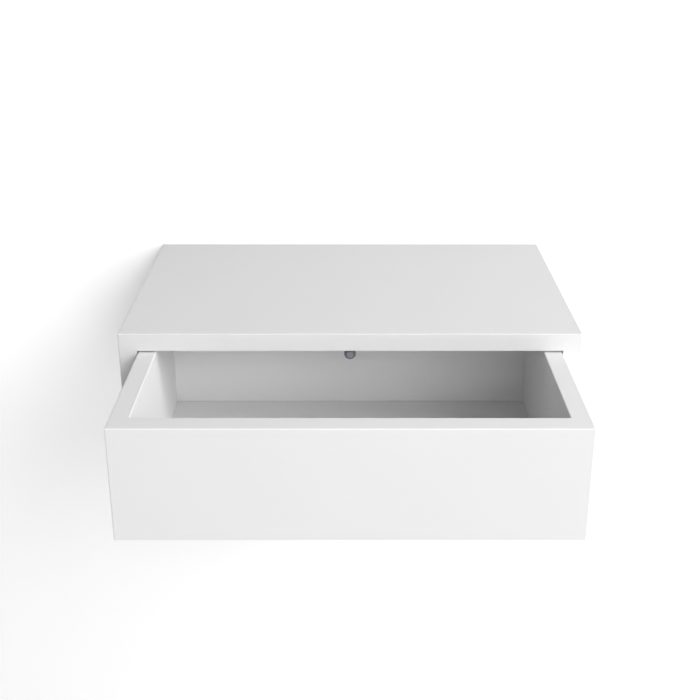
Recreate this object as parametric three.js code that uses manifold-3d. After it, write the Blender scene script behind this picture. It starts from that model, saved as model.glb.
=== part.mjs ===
// Floating nightstand. A wall-hung cabinet of white faced board holds one inset drawer with a plain
// front, which a push latch under the top panel lets out. The drawer stands part open.
// Millimetres, +Z up, the front towards -Y. The origin is the middle of the rear face, on the wall.

import * as THREE from 'three';
import { mergeVertices } from 'three/addons/utils/BufferGeometryUtils.js';
import Module from 'manifold-3d';

const wasm = await Module();
wasm.setup();

// Cabinet
const cabinetWidth = 460;
const cabinetDepth = 300;
const cabinetHeight = 150;
const boardThickness = 18;
const arrisRadius = 1;
const backThickness = 3;
const backRebate = 9;
const backEndGap = 0.5;
const backSideGap = 0.25;

// Drawer, with the gaps round it when it is closed, and what is left of its travel at rest
const drawerTravelLeft = 12.5;
const drawerStopGap = 0.5;
const drawerSideGap = 1;
const drawerTopGap = 2;
const drawerBottomGap = 1;
const drawerRearGap = 2;
const drawerFrontThickness = 22;
const drawerSideThickness = 18;
const drawerBackThickness = 16;
const drawerFixingInset = 30;
const floorThickness = 3;
const floorRise = 4;
const floorEndGap = 0.5;
const grooveDepth = 8;
const grooveHeadroom = 0.2;

// Glide strips that the drawer runs on
const glideWidth = 10;
const glideThickness = 0.8;
const glideFrontInset = 15;
const glideRearInset = 35;
const glideCornerRadius = 3;

// Cam fittings and dowels of the corner joints
const camDiameter = 15;
const camLength = 13.2;
const camShell = 2;
const camFromEnd = 24;
const camDriveSpan = 8;
const camDriveWidth = 1.4;
const camDriveDepth = 2.2;
const boltEdgeInset = 37;
const boltThreadDiameter = 6;
const boltThreadLength = 11;
const boltShankDiameter = 7;
const boltNeckDiameter = 3.5;
const boltNeckLead = 1.5;
const boltHeadDiameter = 5.5;
const boltHeadLength = 3;
const dowelSpacing = 32;
const dowelDiameter = 8;
const dowelLength = 30;
const dowelInPanel = 12;
const dowelChamfer = 0.8;

// Keyhole plates that hang the cabinet on two wall screws
const plateWidth = 14;
const plateHeight = 46;
const plateThickness = 2;
const plateDrop = 55;
const plateScrewSpread = 36;
const keyholeDiameter = 9.5;
const keyslotWidth = 5;
const keyslotRise = 8;
const pocketMargin = 0.75;
const pocketDepth = 9;

// Push latch
const latchSetback = 26;
const latchLength = 70;
const latchWidth = 12;
const latchDrop = 20;
const earSpan = 32;
const earLength = 14;
const earThickness = 2;
const earCornerRadius = 3;
const earScrewSpread = 22;
const plungerDiameter = 7.2;
const plungerLength = 34;
const plungerTipRadius = 1.2;
const plungerGap = 0.3;
const spigotDiameter = 3.4;
const spigotLength = 4;
const springDiameter = 6;
const springWire = 0.8;
const springLength = 16;
const springTurns = 8;

// Screws: shaft, head, length and tip
const plateScrew = { shaft: 3.5, head: 6.6, length: 16, tip: 3 };
const latchScrew = { shaft: 3, head: 5.6, length: 14, tip: 3 };
const backScrew = { shaft: 4, head: 7.6, length: 40, tip: 4 };
const crossSpanShare = 0.6;
const crossWidthShare = 0.16;
const crossDepthShare = 0.24;

// Clearance round each fitting in its bore, and the overrun of every cut
const fitClearance = 0.3;
const overrun = 2;

// Facets of round forms
const arrisSteps = 3;
const arcSteps = 3;
const keyholeArcs = 3;
const boreFacets = 12;
const camFacets = 18;
const turnedFacets = 12;
const wireSides = 5;
const stepsPerTurn = 8;

// Planes that the pieces share
const halfWidth = cabinetWidth / 2;
const halfHeight = cabinetHeight / 2;
const halfOpening = halfWidth - boardThickness;
const openingTop = halfHeight - boardThickness;
const drawerHalfWidth = halfOpening - drawerSideGap;
const drawerHalfInside = drawerHalfWidth - drawerSideThickness;
const drawerTop = openingTop - drawerTopGap;
const drawerBottom = drawerBottomGap - openingTop;
const drawerRear = -backThickness - drawerRearGap;
const drawerFrontInside = drawerFrontThickness - cabinetDepth;
const drawerBackInside = drawerRear - drawerBackThickness;
const floorBottom = drawerBottom + floorRise;
const plateCentre = halfHeight - plateDrop;
const latchFront = latchSetback - cabinetDepth;
const latchRear = latchFront + latchLength;
const latchAxisHeight = openingTop - latchDrop + latchWidth / 2;
const plungerTip = drawerFrontInside + plungerGap;
const plungerShoulder = plungerTip + plungerLength;
const drawerOpening = drawerBackInside - latchRear - drawerStopGap - drawerTravelLeft;

const unitX = new THREE.Vector3(1, 0, 0);
const unitY = new THREE.Vector3(0, 1, 0);
const unitZ = new THREE.Vector3(0, 0, 1);
const axes = [unitX, unitY, unitZ];

// Materials
function boardWhite() {
  return new THREE.MeshStandardMaterial({ color: 0xf3f3f2, roughness: 0.5, metalness: 0 });
}

function hardboardWhite() {
  return new THREE.MeshStandardMaterial({ color: 0xeeeeec, roughness: 0.6, metalness: 0 });
}

function beech() {
  return new THREE.MeshStandardMaterial({ color: 0xd8b98a, roughness: 0.8, metalness: 0 });
}

function dieCastZinc() {
  return new THREE.MeshStandardMaterial({ color: 0xb4b6b8, roughness: 0.4, metalness: 0.9 });
}

function platedSteel() {
  return new THREE.MeshStandardMaterial({ color: 0xc6c8cb, roughness: 0.3, metalness: 1 });
}

function latchGrey() {
  return new THREE.MeshStandardMaterial({ color: 0x6b6e75, roughness: 0.5, metalness: 0 });
}

function plungerGrey() {
  return new THREE.MeshStandardMaterial({ color: 0x85878c, roughness: 0.45, metalness: 0 });
}

function slideNylon() {
  return new THREE.MeshStandardMaterial({ color: 0xe9e9e6, roughness: 0.35, metalness: 0 });
}

// A closed mesh as a solid that can be joined and cut
function solidFrom(geometry) {
  const bare = geometry.clone();
  bare.deleteAttribute('normal');
  bare.deleteAttribute('uv');
  const merged = mergeVertices(bare);
  const corners = merged.index.array;
  const kept = [];
  for (let i = 0; i < corners.length; i += 3) {
    const [a, b, c] = [corners[i], corners[i + 1], corners[i + 2]];
    if (a !== b && b !== c && c !== a) {
      kept.push(a, b, c);
    }
  }
  const vertProperties = new Float32Array(merged.attributes.position.array);
  const triVerts = new Uint32Array(kept);
  return new wasm.Manifold(new wasm.Mesh({ numProp: 3, vertProperties, triVerts }));
}

function geometryFrom(solid) {
  const mesh = solid.getMesh();
  const geometry = new THREE.BufferGeometry();
  geometry.setAttribute('position', new THREE.BufferAttribute(mesh.vertProperties, 3));
  geometry.setIndex(new THREE.BufferAttribute(mesh.triVerts, 1));
  geometry.computeVertexNormals();
  return geometry;
}

function cutFrom(solid, cuts) {
  let rest = solid;
  for (const cut of cuts) {
    rest = rest.subtract(cut);
  }
  return rest;
}

function piece(name, solid, material) {
  const mesh = new THREE.Mesh(geometryFrom(solid), material);
  mesh.name = name;
  return mesh;
}

// The numbers of an axis and of the two that follow it, in turn X, Y, Z
function axisNumbers(along) {
  const first = axes.indexOf(along);
  return [first, (first + 1) % axes.length, (first + 2) % axes.length];
}

// An outline pushed along one axis; it lies on the two axes that follow
function prism(outline, along, from, to) {
  const settings = { depth: to - from, bevelEnabled: false, curveSegments: arcSteps };
  const geometry = new THREE.ExtrudeGeometry(outline, settings);
  geometry.translate(0, 0, from);
  const [, u, v] = axisNumbers(along);
  geometry.applyMatrix4(new THREE.Matrix4().makeBasis(axes[u], axes[v], along));
  return solidFrom(geometry);
}

function block(low, high) {
  const size = high.map((value, i) => value - low[i]);
  const geometry = new THREE.BoxGeometry(...size);
  geometry.translate(...low.map((value, i) => value + size[i] / 2));
  return solidFrom(geometry);
}

function polygonOutline(points) {
  return new THREE.Shape(points.map(([u, v]) => new THREE.Vector2(u, v)));
}

function roundOutline(diameter, facets) {
  const points = [];
  for (let i = 0; i < facets; i += 1) {
    const angle = (2 * Math.PI * i) / facets;
    points.push([(diameter / 2) * Math.cos(angle), (diameter / 2) * Math.sin(angle)]);
  }
  return polygonOutline(points);
}

// A rectangle with round corners about the middle of its two axes
function roundedOutline(lengthU, lengthV, radius) {
  const [u, v] = [lengthU / 2 - radius, lengthV / 2 - radius];
  const outline = new THREE.Shape();
  outline.absarc(u, v, radius, 0, Math.PI / 2, false);
  outline.absarc(-u, v, radius, Math.PI / 2, Math.PI, false);
  outline.absarc(-u, -v, radius, Math.PI, 1.5 * Math.PI, false);
  outline.absarc(u, -v, radius, 1.5 * Math.PI, 2 * Math.PI, false);
  return outline;
}

// What a rounded arris takes off a board, as a prism along the arris. The two signs say on which
// side of the board the arris lies on the two axes that follow, and span may stop it short.
function arrisWaste(low, high, { along, signs, span }) {
  const [run, u, v] = axisNumbers(along);
  const corner = [signs[0] > 0 ? high[u] : low[u], signs[1] > 0 ? high[v] : low[v]];
  const points = [];
  for (let i = 0; i <= arrisSteps; i += 1) {
    const angle = (i / arrisSteps) * (Math.PI / 2);
    points.push([arrisRadius * (1 - Math.sin(angle)), arrisRadius * (1 - Math.cos(angle))]);
  }
  points.push([-overrun, arrisRadius], [-overrun, -overrun], [arrisRadius, -overrun]);
  const placed = points.map(([du, dv]) => [corner[0] - signs[0] * du, corner[1] - signs[1] * dv]);
  const [from, to] = span ?? [low[run] - overrun, high[run] + overrun];
  return prism(polygonOutline(placed), along, from, to);
}

function board(low, high, arrises, cuts) {
  const waste = arrises.map((arris) => arrisWaste(low, high, arris));
  return cutFrom(block(low, high), [...cuts, ...waste]);
}

// A form turned about +Y from a profile of radius and height, lowest point first
function turned(profile) {
  const points = profile.map(([radius, height]) => new THREE.Vector2(radius, height));
  return new THREE.LatheGeometry(points, turnedFacets);
}

function facing(direction) {
  return new THREE.Quaternion().setFromUnitVectors(unitY, direction);
}

// A round bore that starts at its mouth and runs along a direction
function bore(mouth, direction, diameter, depth, facets = boreFacets) {
  const radius = diameter / 2;
  const geometry = new THREE.CylinderGeometry(radius, radius, depth + overrun, facets);
  geometry.translate(0, (depth - overrun) / 2, 0);
  geometry.applyQuaternion(facing(direction));
  geometry.translate(...mouth);
  return solidFrom(geometry);
}

// Countersunk screw, with a cross in its flat head; its head faces +Y at height zero
function screwSolid(screw) {
  const taper = (screw.head - screw.shaft) / 2;
  const body = solidFrom(turned([
    [0, -screw.length],
    [screw.shaft / 2, screw.tip - screw.length],
    [screw.shaft / 2, -taper],
    [screw.head / 2, 0],
    [0, 0],
  ]));
  const [long, wide] = [(screw.head * crossSpanShare) / 2, (screw.head * crossWidthShare) / 2];
  const depth = screw.head * crossDepthShare;
  const armX = block([-long, -depth, -wide], [long, overrun, wide]);
  const armZ = block([-wide, -depth, -long], [wide, overrun, long]);
  return cutFrom(body, [armX, armZ]);
}

function screwPiece(name, screw, place, outwards) {
  const mesh = piece(name, screwSolid(screw), platedSteel());
  mesh.position.set(...place);
  mesh.quaternion.copy(facing(outwards));
  return mesh;
}

// The countersunk hole of such a screw
function screwHole(screw, place, outwards) {
  const taper = (screw.head - screw.shaft) / 2;
  const end = -screw.length - fitClearance;
  const shaft = screw.shaft / 2 + fitClearance;
  const head = screw.head / 2 + fitClearance;
  const profile = [[0, end], [shaft, end], [shaft, -taper], [head, 0], [head, overrun], [0, overrun]];
  const geometry = turned(profile);
  geometry.applyQuaternion(facing(outwards));
  geometry.translate(...place);
  return solidFrom(geometry);
}

// Zinc cam. Its slotted face looks along +X and its bolt comes in along +Z. A chamber holds the
// bolt's head, a wide mouth lets the head in, and a narrow quarter slot keeps it in as it turns.
function camSolid(sideThickness) {
  const middle = -sideThickness / 2;
  const neckRoom = boltNeckDiameter / 2 + fitClearance;
  const headRoom = boltHeadDiameter / 2 + fitClearance;
  const reach = camDiameter / 2 + overrun;
  const quarter = [[0, 0]];
  for (let i = 0; i <= arcSteps; i += 1) {
    const angle = (Math.PI / 2) * (1 + i / arcSteps);
    quarter.push([reach * Math.cos(angle), reach * Math.sin(angle)]);
  }
  const body = prism(roundOutline(camDiameter, camFacets), unitX, -camLength, 0);
  const chamberOutline = roundOutline(camDiameter - 2 * camShell, camFacets);
  const chamber = prism(chamberOutline, unitX, middle - headRoom, middle + headRoom);
  const slot = prism(polygonOutline(quarter), unitX, middle - neckRoom, middle + neckRoom);
  const neck = block([middle - neckRoom, -neckRoom, 0], [middle + neckRoom, neckRoom, reach]);
  const mouth = block([middle - headRoom, -reach, -headRoom], [middle + headRoom, 0, headRoom]);
  const [long, wide] = [camDriveSpan / 2, camDriveWidth / 2];
  const driveY = block([-camDriveDepth, -long, -wide], [overrun, long, wide]);
  const driveZ = block([-camDriveDepth, -wide, -long], [overrun, wide, long]);
  return cutFrom(body, [chamber, slot, neck, mouth, driveY, driveZ]);
}

function camPiece(name, sideThickness, faceCentre, faceNormal, towardsBolt) {
  const mesh = piece(name, camSolid(sideThickness), dieCastZinc());
  const across = new THREE.Vector3().crossVectors(towardsBolt, faceNormal);
  const frame = new THREE.Matrix4().makeBasis(faceNormal, across, towardsBolt);
  mesh.quaternion.setFromRotationMatrix(frame);
  mesh.position.set(...faceCentre);
  return mesh;
}

// Cam bolt. Height zero is the joint's plane: its thread is above, its shank, neck and head below.
function camBoltPiece(name, place, towardsThread) {
  const neckStart = camFromEnd - camDiameter / 2 - boltNeckLead;
  const chamber = camDiameter / 2 - camShell;
  const headStart = camFromEnd - Math.sqrt(chamber ** 2 - (boltHeadDiameter / 2) ** 2) + fitClearance;
  const headEnd = headStart + boltHeadLength;
  const [shank, thread] = [boltShankDiameter / 2, boltThreadDiameter / 2];
  const [neck, head] = [boltNeckDiameter / 2, boltHeadDiameter / 2];
  const solid = solidFrom(turned([
    [0, -headEnd],
    [head, -headEnd],
    [head, -headStart],
    [neck, -headStart],
    [neck, -neckStart],
    [shank, -neckStart],
    [shank, 0],
    [thread, 0],
    [thread, boltThreadLength],
    [0, boltThreadLength],
  ]));
  const mesh = piece(name, solid, platedSteel());
  mesh.position.set(...place);
  mesh.quaternion.copy(facing(towardsThread));
  return mesh;
}

// Bores in the side that holds the cam, and in the panel that holds the bolt's thread
function camBores(faceCentre, faceNormal, towardsBolt, sideThickness) {
  const inwards = faceNormal.clone().negate();
  const [width, depth] = [camDiameter + 2 * fitClearance, camLength + fitClearance];
  const camBore = bore(faceCentre, inwards, width, depth, camFacets);
  const endMouth = new THREE.Vector3(...faceCentre);
  endMouth.addScaledVector(inwards, sideThickness / 2);
  endMouth.addScaledVector(towardsBolt, camFromEnd);
  const shankBore = boltShankDiameter + 2 * fitClearance;
  return [camBore, bore(endMouth, towardsBolt.clone().negate(), shankBore, camFromEnd)];
}

function threadBore(place, towardsThread) {
  const diameter = boltThreadDiameter + 2 * fitClearance;
  return bore(place, towardsThread, diameter, boltThreadLength + fitClearance);
}

// Beech dowel with chamfered ends; height zero is the joint's plane
function dowelPiece(name, place, towardsPanel) {
  const radius = dowelDiameter / 2;
  const [low, high] = [dowelInPanel - dowelLength, dowelInPanel];
  const solid = solidFrom(turned([
    [0, low],
    [radius - dowelChamfer, low],
    [radius, low + dowelChamfer],
    [radius, high - dowelChamfer],
    [radius - dowelChamfer, high],
    [0, high],
  ]));
  const mesh = piece(name, solid, beech());
  mesh.position.set(...place);
  mesh.quaternion.copy(facing(towardsPanel));
  return mesh;
}

function dowelBore(place, direction, depth) {
  return bore(place, direction, dowelDiameter + 2 * fitClearance, depth + fitClearance);
}

// The cabinet's four corners: each has a bolt and a dowel near the front and near the rear
function cornerJoints() {
  const joints = [];
  for (const [level, levelName] of [[1, 'top'], [-1, 'bottom']]) {
    for (const [side, sideName] of [[-1, 'left'], [1, 'right']]) {
      for (const [endName, boltY, dowelY] of [
        ['front', boltEdgeInset - cabinetDepth, boltEdgeInset + dowelSpacing - cabinetDepth],
        ['rear', -boltEdgeInset, -boltEdgeInset - dowelSpacing],
      ]) {
        const x = side * (halfWidth - boardThickness / 2);
        joints.push({
          name: `${levelName}_${sideName}_${endName}`,
          level,
          side,
          towardsPanel: unitZ.clone().multiplyScalar(level),
          faceNormal: unitX.clone().multiplyScalar(-side),
          bolt: [x, boltY, level * openingTop],
          dowel: [x, dowelY, level * openingTop],
          camFace: [side * halfOpening, boltY, level * (openingTop - camFromEnd)],
        });
      }
    }
  }
  return joints;
}

// Top or bottom panel: it runs over the ends of the sides, with a rebate for the back
function levelPanel(name, level) {
  const [inner, outer] = [level * openingTop, level * halfHeight];
  const low = [-halfWidth, -cabinetDepth, Math.min(inner, outer)];
  const high = [halfWidth, 0, Math.max(inner, outer)];
  const arrises = [
    { along: unitX, signs: [-1, level] },
    { along: unitY, signs: [level, -1] },
    { along: unitY, signs: [level, 1] },
    { along: unitZ, signs: [-1, -1] },
    { along: unitZ, signs: [1, -1] },
  ];
  const rebateEnds = [level * (openingTop - overrun), level * (openingTop + backRebate)];
  const cuts = [block(
    [-halfOpening, -backThickness, Math.min(...rebateEnds)],
    [halfOpening, overrun, Math.max(...rebateEnds)],
  )];
  for (const joint of cornerJoints().filter((one) => one.level === level)) {
    cuts.push(threadBore(joint.bolt, joint.towardsPanel));
    cuts.push(dowelBore(joint.dowel, joint.towardsPanel, dowelInPanel));
  }
  if (level > 0) {
    cuts.push(...latchScrewPlaces().map((place) => screwHole(latchScrew, place, unitZ.clone().negate())));
  }
  return piece(name, board(low, high, arrises, cuts), boardWhite());
}

// Side panel: it stands between top and bottom, with a keyhole plate let into its rear edge
function sidePanel(name, side) {
  const [inner, outer] = [side * halfOpening, side * halfWidth];
  const low = [Math.min(inner, outer), -cabinetDepth, -openingTop];
  const high = [Math.max(inner, outer), 0, openingTop];
  const arrises = [{ along: unitZ, signs: [side, -1] }];
  const cuts = plateSeat(side);
  for (const joint of cornerJoints().filter((one) => one.side === side)) {
    const intoSide = joint.towardsPanel.clone().negate();
    cuts.push(...camBores(joint.camFace, joint.faceNormal, joint.towardsPanel, boardThickness));
    cuts.push(dowelBore(joint.dowel, intoSide, dowelLength - dowelInPanel));
  }
  return piece(name, board(low, high, arrises, cuts), boardWhite());
}

function backPanel() {
  const [x, z] = [halfOpening - backSideGap, openingTop + backRebate - backEndGap];
  return piece('back_panel', block([-x, -backThickness, -z], [x, 0, z]), hardboardWhite());
}

// Keyhole outline: the round hole, in a few arcs so that it comes out round, and the slot above it
// that the wall screw's shank slides up
function keyholeOutline() {
  const [hole, slot] = [keyholeDiameter / 2, keyslotWidth / 2];
  const neck = Math.asin(slot / hole);
  const arc = (2 * Math.PI - 2 * neck) / keyholeArcs;
  const outline = new THREE.Shape();
  for (let i = 0; i < keyholeArcs; i += 1) {
    outline.absarc(0, 0, hole, neck + i * arc, neck + (i + 1) * arc, false);
  }
  outline.absarc(keyslotRise, 0, slot, -Math.PI / 2, Math.PI / 2, false);
  return outline;
}

function plateScrewHeights() {
  return [['upper', plateCentre + plateScrewSpread / 2], ['lower', plateCentre - plateScrewSpread / 2]];
}

function platePiece(name, side) {
  const outline = roundedOutline(plateHeight, plateWidth, plateWidth / 2);
  const plate = prism(outline, unitY, -plateThickness, 0);
  const keyhole = prism(keyholeOutline(), unitY, -plateThickness - overrun, overrun);
  const holes = plateScrewHeights().map(([, z]) => screwHole(plateScrew, [0, 0, z - plateCentre], unitY));
  const mesh = piece(name, cutFrom(plate, [keyhole, ...holes]), platedSteel());
  mesh.position.set(side * (halfWidth - boardThickness / 2), 0, plateCentre);
  return mesh;
}

// The plate's shallow seat, the pocket behind its keyhole and the pilots of its screws
function plateSeat(side) {
  const x = side * (halfWidth - boardThickness / 2);
  const [seatHeight, seatWidth] = [plateHeight + 2 * fitClearance, plateWidth + 2 * fitClearance];
  const seatOutline = roundedOutline(seatHeight, seatWidth, seatWidth / 2);
  const seat = prism(seatOutline, unitY, -plateThickness, overrun);
  const pocketWidth = keyholeDiameter + 2 * pocketMargin;
  const pocketOutline = roundedOutline(pocketWidth + keyslotRise, pocketWidth, pocketWidth / 2);
  const pocket = prism(pocketOutline, unitY, -plateThickness - pocketDepth, overrun);
  return [
    seat.translate([x, 0, plateCentre]),
    pocket.translate([x, 0, plateCentre + keyslotRise / 2]),
    ...plateScrewHeights().map(([, z]) => screwHole(plateScrew, [x, 0, z], unitY)),
  ];
}

// Nylon strip stuck to the bottom panel, under one side of the drawer
function glidePiece(name, side) {
  const glideLength = cabinetDepth - glideFrontInset - glideRearInset;
  const outline = roundedOutline(glideWidth, glideLength, glideCornerRadius);
  const mesh = piece(name, prism(outline, unitZ, 0, glideThickness), slideNylon());
  const x = side * (drawerHalfInside + drawerSideThickness / 2);
  mesh.position.set(x, (glideFrontInset - glideRearInset - cabinetDepth) / 2, -openingTop);
  return mesh;
}

// Latch housing: a round-bottomed case under the top panel, with two screwed ears
function latchEarMiddle() {
  return latchFront + latchLength / 2;
}

function latchScrewPlaces() {
  const z = openingTop - earThickness;
  return [-1, 1].map((side) => [(side * earScrewSpread) / 2, latchEarMiddle(), z]);
}

function latchHousing() {
  const radius = latchWidth / 2;
  const floor = radius - latchDrop;
  const outline = new THREE.Shape();
  outline.moveTo(0, radius);
  outline.absarc(floor, 0, radius, Math.PI / 2, 1.5 * Math.PI, false);
  outline.lineTo(0, -radius);
  const body = prism(outline, unitY, latchFront, latchRear);
  const ears = prism(roundedOutline(earSpan, earLength, earCornerRadius), unitZ, -earThickness, 0);
  const downwards = unitZ.clone().negate();
  const holes = latchScrewPlaces().map(([x, y]) => screwHole(latchScrew, [x, y, -earThickness], downwards));
  const boreEnd = plungerShoulder + springLength + 2 * fitClearance;
  const boreDiameter = plungerDiameter + 2 * fitClearance;
  const channel = bore([0, latchFront, floor], unitY, boreDiameter, boreEnd - latchFront);
  const whole = body.add(ears.translate([0, latchEarMiddle(), 0]));
  const mesh = piece('latch_housing', cutFrom(whole, [channel, ...holes]), latchGrey());
  mesh.position.set(0, 0, openingTop);
  return mesh;
}

// Plunger with a rounded tip in front and a spigot behind that centres the spring
function latchPlunger() {
  const [radius, spigot] = [plungerDiameter / 2, spigotDiameter / 2];
  const tip = [];
  for (let i = 0; i <= arrisSteps; i += 1) {
    const angle = (i / arrisSteps) * (Math.PI / 2);
    const inset = radius - plungerTipRadius * (1 - Math.sin(angle));
    tip.push([inset, plungerTipRadius * (1 - Math.cos(angle))]);
  }
  const solid = solidFrom(turned([
    [0, 0],
    ...tip,
    [radius, plungerLength],
    [spigot, plungerLength],
    [spigot, plungerLength + spigotLength],
    [0, plungerLength + spigotLength],
  ]));
  const mesh = piece('latch_plunger', solid, plungerGrey());
  mesh.position.set(0, plungerTip, latchAxisHeight);
  return mesh;
}

class SpringPath extends THREE.Curve {
  getPoint(t, target = new THREE.Vector3()) {
    const angle = 2 * Math.PI * springTurns * t;
    const radius = (springDiameter - springWire) / 2;
    const run = springLength - springWire;
    return target.set(radius * Math.cos(angle), springWire / 2 + run * t, radius * Math.sin(angle));
  }
}

function latchSpring() {
  const settings = { steps: springTurns * stepsPerTurn, extrudePath: new SpringPath() };
  const geometry = new THREE.ExtrudeGeometry(roundOutline(springWire, wireSides), settings);
  const mesh = piece('latch_spring', solidFrom(geometry), platedSteel());
  mesh.position.set(0, plungerShoulder + fitClearance, latchAxisHeight);
  return mesh;
}

// The drawer's fixings: cams near the front of its sides, screws through the sides into its back
function drawerFixings() {
  const fixings = [];
  for (const [side, sideName] of [[-1, 'left'], [1, 'right']]) {
    for (const [levelName, z] of [
      ['upper', drawerTop - drawerFixingInset],
      ['lower', drawerBottom + drawerFixingInset],
    ]) {
      fixings.push({
        name: `${sideName}_${levelName}`,
        side,
        faceNormal: unitX.clone().multiplyScalar(-side),
        outwards: unitX.clone().multiplyScalar(side),
        bolt: [side * (drawerHalfWidth - drawerSideThickness / 2), drawerFrontInside, z],
        camFace: [side * drawerHalfInside, drawerFrontInside + camFromEnd, z],
        screw: [side * drawerHalfWidth, drawerRear - drawerBackThickness / 2, z],
      });
    }
  }
  return fixings;
}

const towardsFront = unitY.clone().negate();

function floorGroove(low, high) {
  return block([...low, floorBottom], [...high, floorBottom + floorThickness + grooveHeadroom]);
}

function drawerFront() {
  const low = [-drawerHalfWidth, -cabinetDepth, drawerBottom];
  const high = [drawerHalfWidth, drawerFrontInside, drawerTop];
  const arrises = [
    { along: unitX, signs: [-1, 1] },
    { along: unitX, signs: [-1, -1] },
    { along: unitX, signs: [1, 1], span: [-drawerHalfInside, drawerHalfInside] },
    { along: unitY, signs: [1, -1] },
    { along: unitY, signs: [1, 1] },
    { along: unitZ, signs: [-1, -1] },
    { along: unitZ, signs: [1, -1] },
  ];
  const reach = drawerHalfInside + grooveDepth;
  const groove = floorGroove([-reach, drawerFrontInside - grooveDepth], [reach, drawerFrontInside + overrun]);
  const bores = drawerFixings().map((fixing) => threadBore(fixing.bolt, towardsFront));
  return piece('drawer_front', board(low, high, arrises, [groove, ...bores]), boardWhite());
}

function drawerSide(name, side) {
  const [inner, outer] = [side * drawerHalfInside, side * drawerHalfWidth];
  const low = [Math.min(inner, outer), drawerFrontInside, drawerBottom];
  const high = [Math.max(inner, outer), drawerRear, drawerTop];
  const arrises = [
    { along: unitY, signs: [1, side] },
    { along: unitY, signs: [1, -side], span: [drawerFrontInside, drawerBackInside] },
  ];
  const grooveEnds = [side * (drawerHalfInside - overrun), side * (drawerHalfInside + grooveDepth)];
  const cuts = [floorGroove(
    [Math.min(...grooveEnds), drawerFrontInside - overrun],
    [Math.max(...grooveEnds), drawerRear + overrun],
  )];
  for (const fixing of drawerFixings().filter((one) => one.side === side)) {
    cuts.push(...camBores(fixing.camFace, fixing.faceNormal, towardsFront, drawerSideThickness));
    cuts.push(screwHole(backScrew, fixing.screw, fixing.outwards));
  }
  return piece(name, board(low, high, arrises, cuts), boardWhite());
}

function drawerBack() {
  const low = [-drawerHalfInside, drawerBackInside, drawerBottom];
  const high = [drawerHalfInside, drawerRear, drawerTop];
  const arrises = [
    { along: unitX, signs: [-1, 1] },
    { along: unitX, signs: [1, 1] },
  ];
  const reach = drawerHalfInside + overrun;
  const groove = floorGroove([-reach, drawerBackInside - overrun], [reach, drawerBackInside + grooveDepth]);
  const holes = drawerFixings().map((fixing) => screwHole(backScrew, fixing.screw, fixing.outwards));
  return piece('drawer_back', board(low, high, arrises, [groove, ...holes]), boardWhite());
}

function drawerFloor() {
  const tongue = grooveDepth - floorEndGap;
  const x = drawerHalfInside + tongue;
  const low = [-x, drawerFrontInside - tongue, floorBottom];
  const high = [x, drawerBackInside + tongue, floorBottom + floorThickness];
  return piece('drawer_floor', block(low, high), hardboardWhite());
}

const cabinet = new THREE.Group();
cabinet.add(levelPanel('top_panel', 1));
cabinet.add(levelPanel('bottom_panel', -1));
cabinet.add(backPanel());
for (const [side, sideName] of [[-1, 'left'], [1, 'right']]) {
  cabinet.add(sidePanel(`${sideName}_side_panel`, side));
  cabinet.add(platePiece(`${sideName}_keyhole_plate`, side));
  cabinet.add(glidePiece(`${sideName}_glide_strip`, side));
  for (const [levelName, z] of plateScrewHeights()) {
    const place = [side * (halfWidth - boardThickness / 2), 0, z];
    cabinet.add(screwPiece(`${sideName}_plate_screw_${levelName}`, plateScrew, place, unitY));
  }
}
for (const joint of cornerJoints()) {
  const { name, camFace, faceNormal, towardsPanel } = joint;
  cabinet.add(camPiece(`cam_${name}`, boardThickness, camFace, faceNormal, towardsPanel));
  cabinet.add(camBoltPiece(`cam_bolt_${name}`, joint.bolt, towardsPanel));
  cabinet.add(dowelPiece(`dowel_${name}`, joint.dowel, towardsPanel));
}

const latch = new THREE.Group();
latch.add(latchHousing(), latchPlunger(), latchSpring());
for (const [i, place] of latchScrewPlaces().entries()) {
  latch.add(screwPiece(`latch_screw_${i + 1}`, latchScrew, place, unitZ.clone().negate()));
}

const drawer = new THREE.Group();
drawer.add(drawerFront(), drawerBack(), drawerFloor());
drawer.add(drawerSide('drawer_left_side', -1), drawerSide('drawer_right_side', 1));
for (const fixing of drawerFixings()) {
  const { name, camFace, faceNormal } = fixing;
  drawer.add(camPiece(`drawer_cam_${name}`, drawerSideThickness, camFace, faceNormal, towardsFront));
  drawer.add(camBoltPiece(`drawer_cam_bolt_${name}`, fixing.bolt, towardsFront));
  drawer.add(screwPiece(`drawer_back_screw_${name}`, backScrew, fixing.screw, fixing.outwards));
}
drawer.position.set(0, -drawerOpening, 0);

const nightstand = new THREE.Group();
nightstand.add(cabinet, latch, drawer);

export default nightstand;
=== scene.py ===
import math

import bmesh
import bpy
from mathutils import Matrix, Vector


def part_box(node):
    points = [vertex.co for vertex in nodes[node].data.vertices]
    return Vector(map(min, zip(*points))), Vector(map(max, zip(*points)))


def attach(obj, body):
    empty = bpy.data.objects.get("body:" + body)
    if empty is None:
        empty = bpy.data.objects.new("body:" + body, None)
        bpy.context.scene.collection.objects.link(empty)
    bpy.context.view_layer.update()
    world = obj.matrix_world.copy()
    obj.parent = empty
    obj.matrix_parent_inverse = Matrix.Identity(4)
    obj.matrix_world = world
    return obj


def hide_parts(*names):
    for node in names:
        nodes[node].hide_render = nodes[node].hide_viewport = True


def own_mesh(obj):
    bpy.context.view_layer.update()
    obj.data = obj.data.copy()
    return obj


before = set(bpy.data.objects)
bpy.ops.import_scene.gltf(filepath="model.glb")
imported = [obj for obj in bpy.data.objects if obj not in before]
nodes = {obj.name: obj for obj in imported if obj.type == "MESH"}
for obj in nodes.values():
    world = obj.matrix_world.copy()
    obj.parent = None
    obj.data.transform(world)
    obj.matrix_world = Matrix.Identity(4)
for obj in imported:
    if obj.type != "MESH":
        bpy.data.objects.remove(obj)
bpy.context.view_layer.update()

scene = bpy.context.scene


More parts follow.
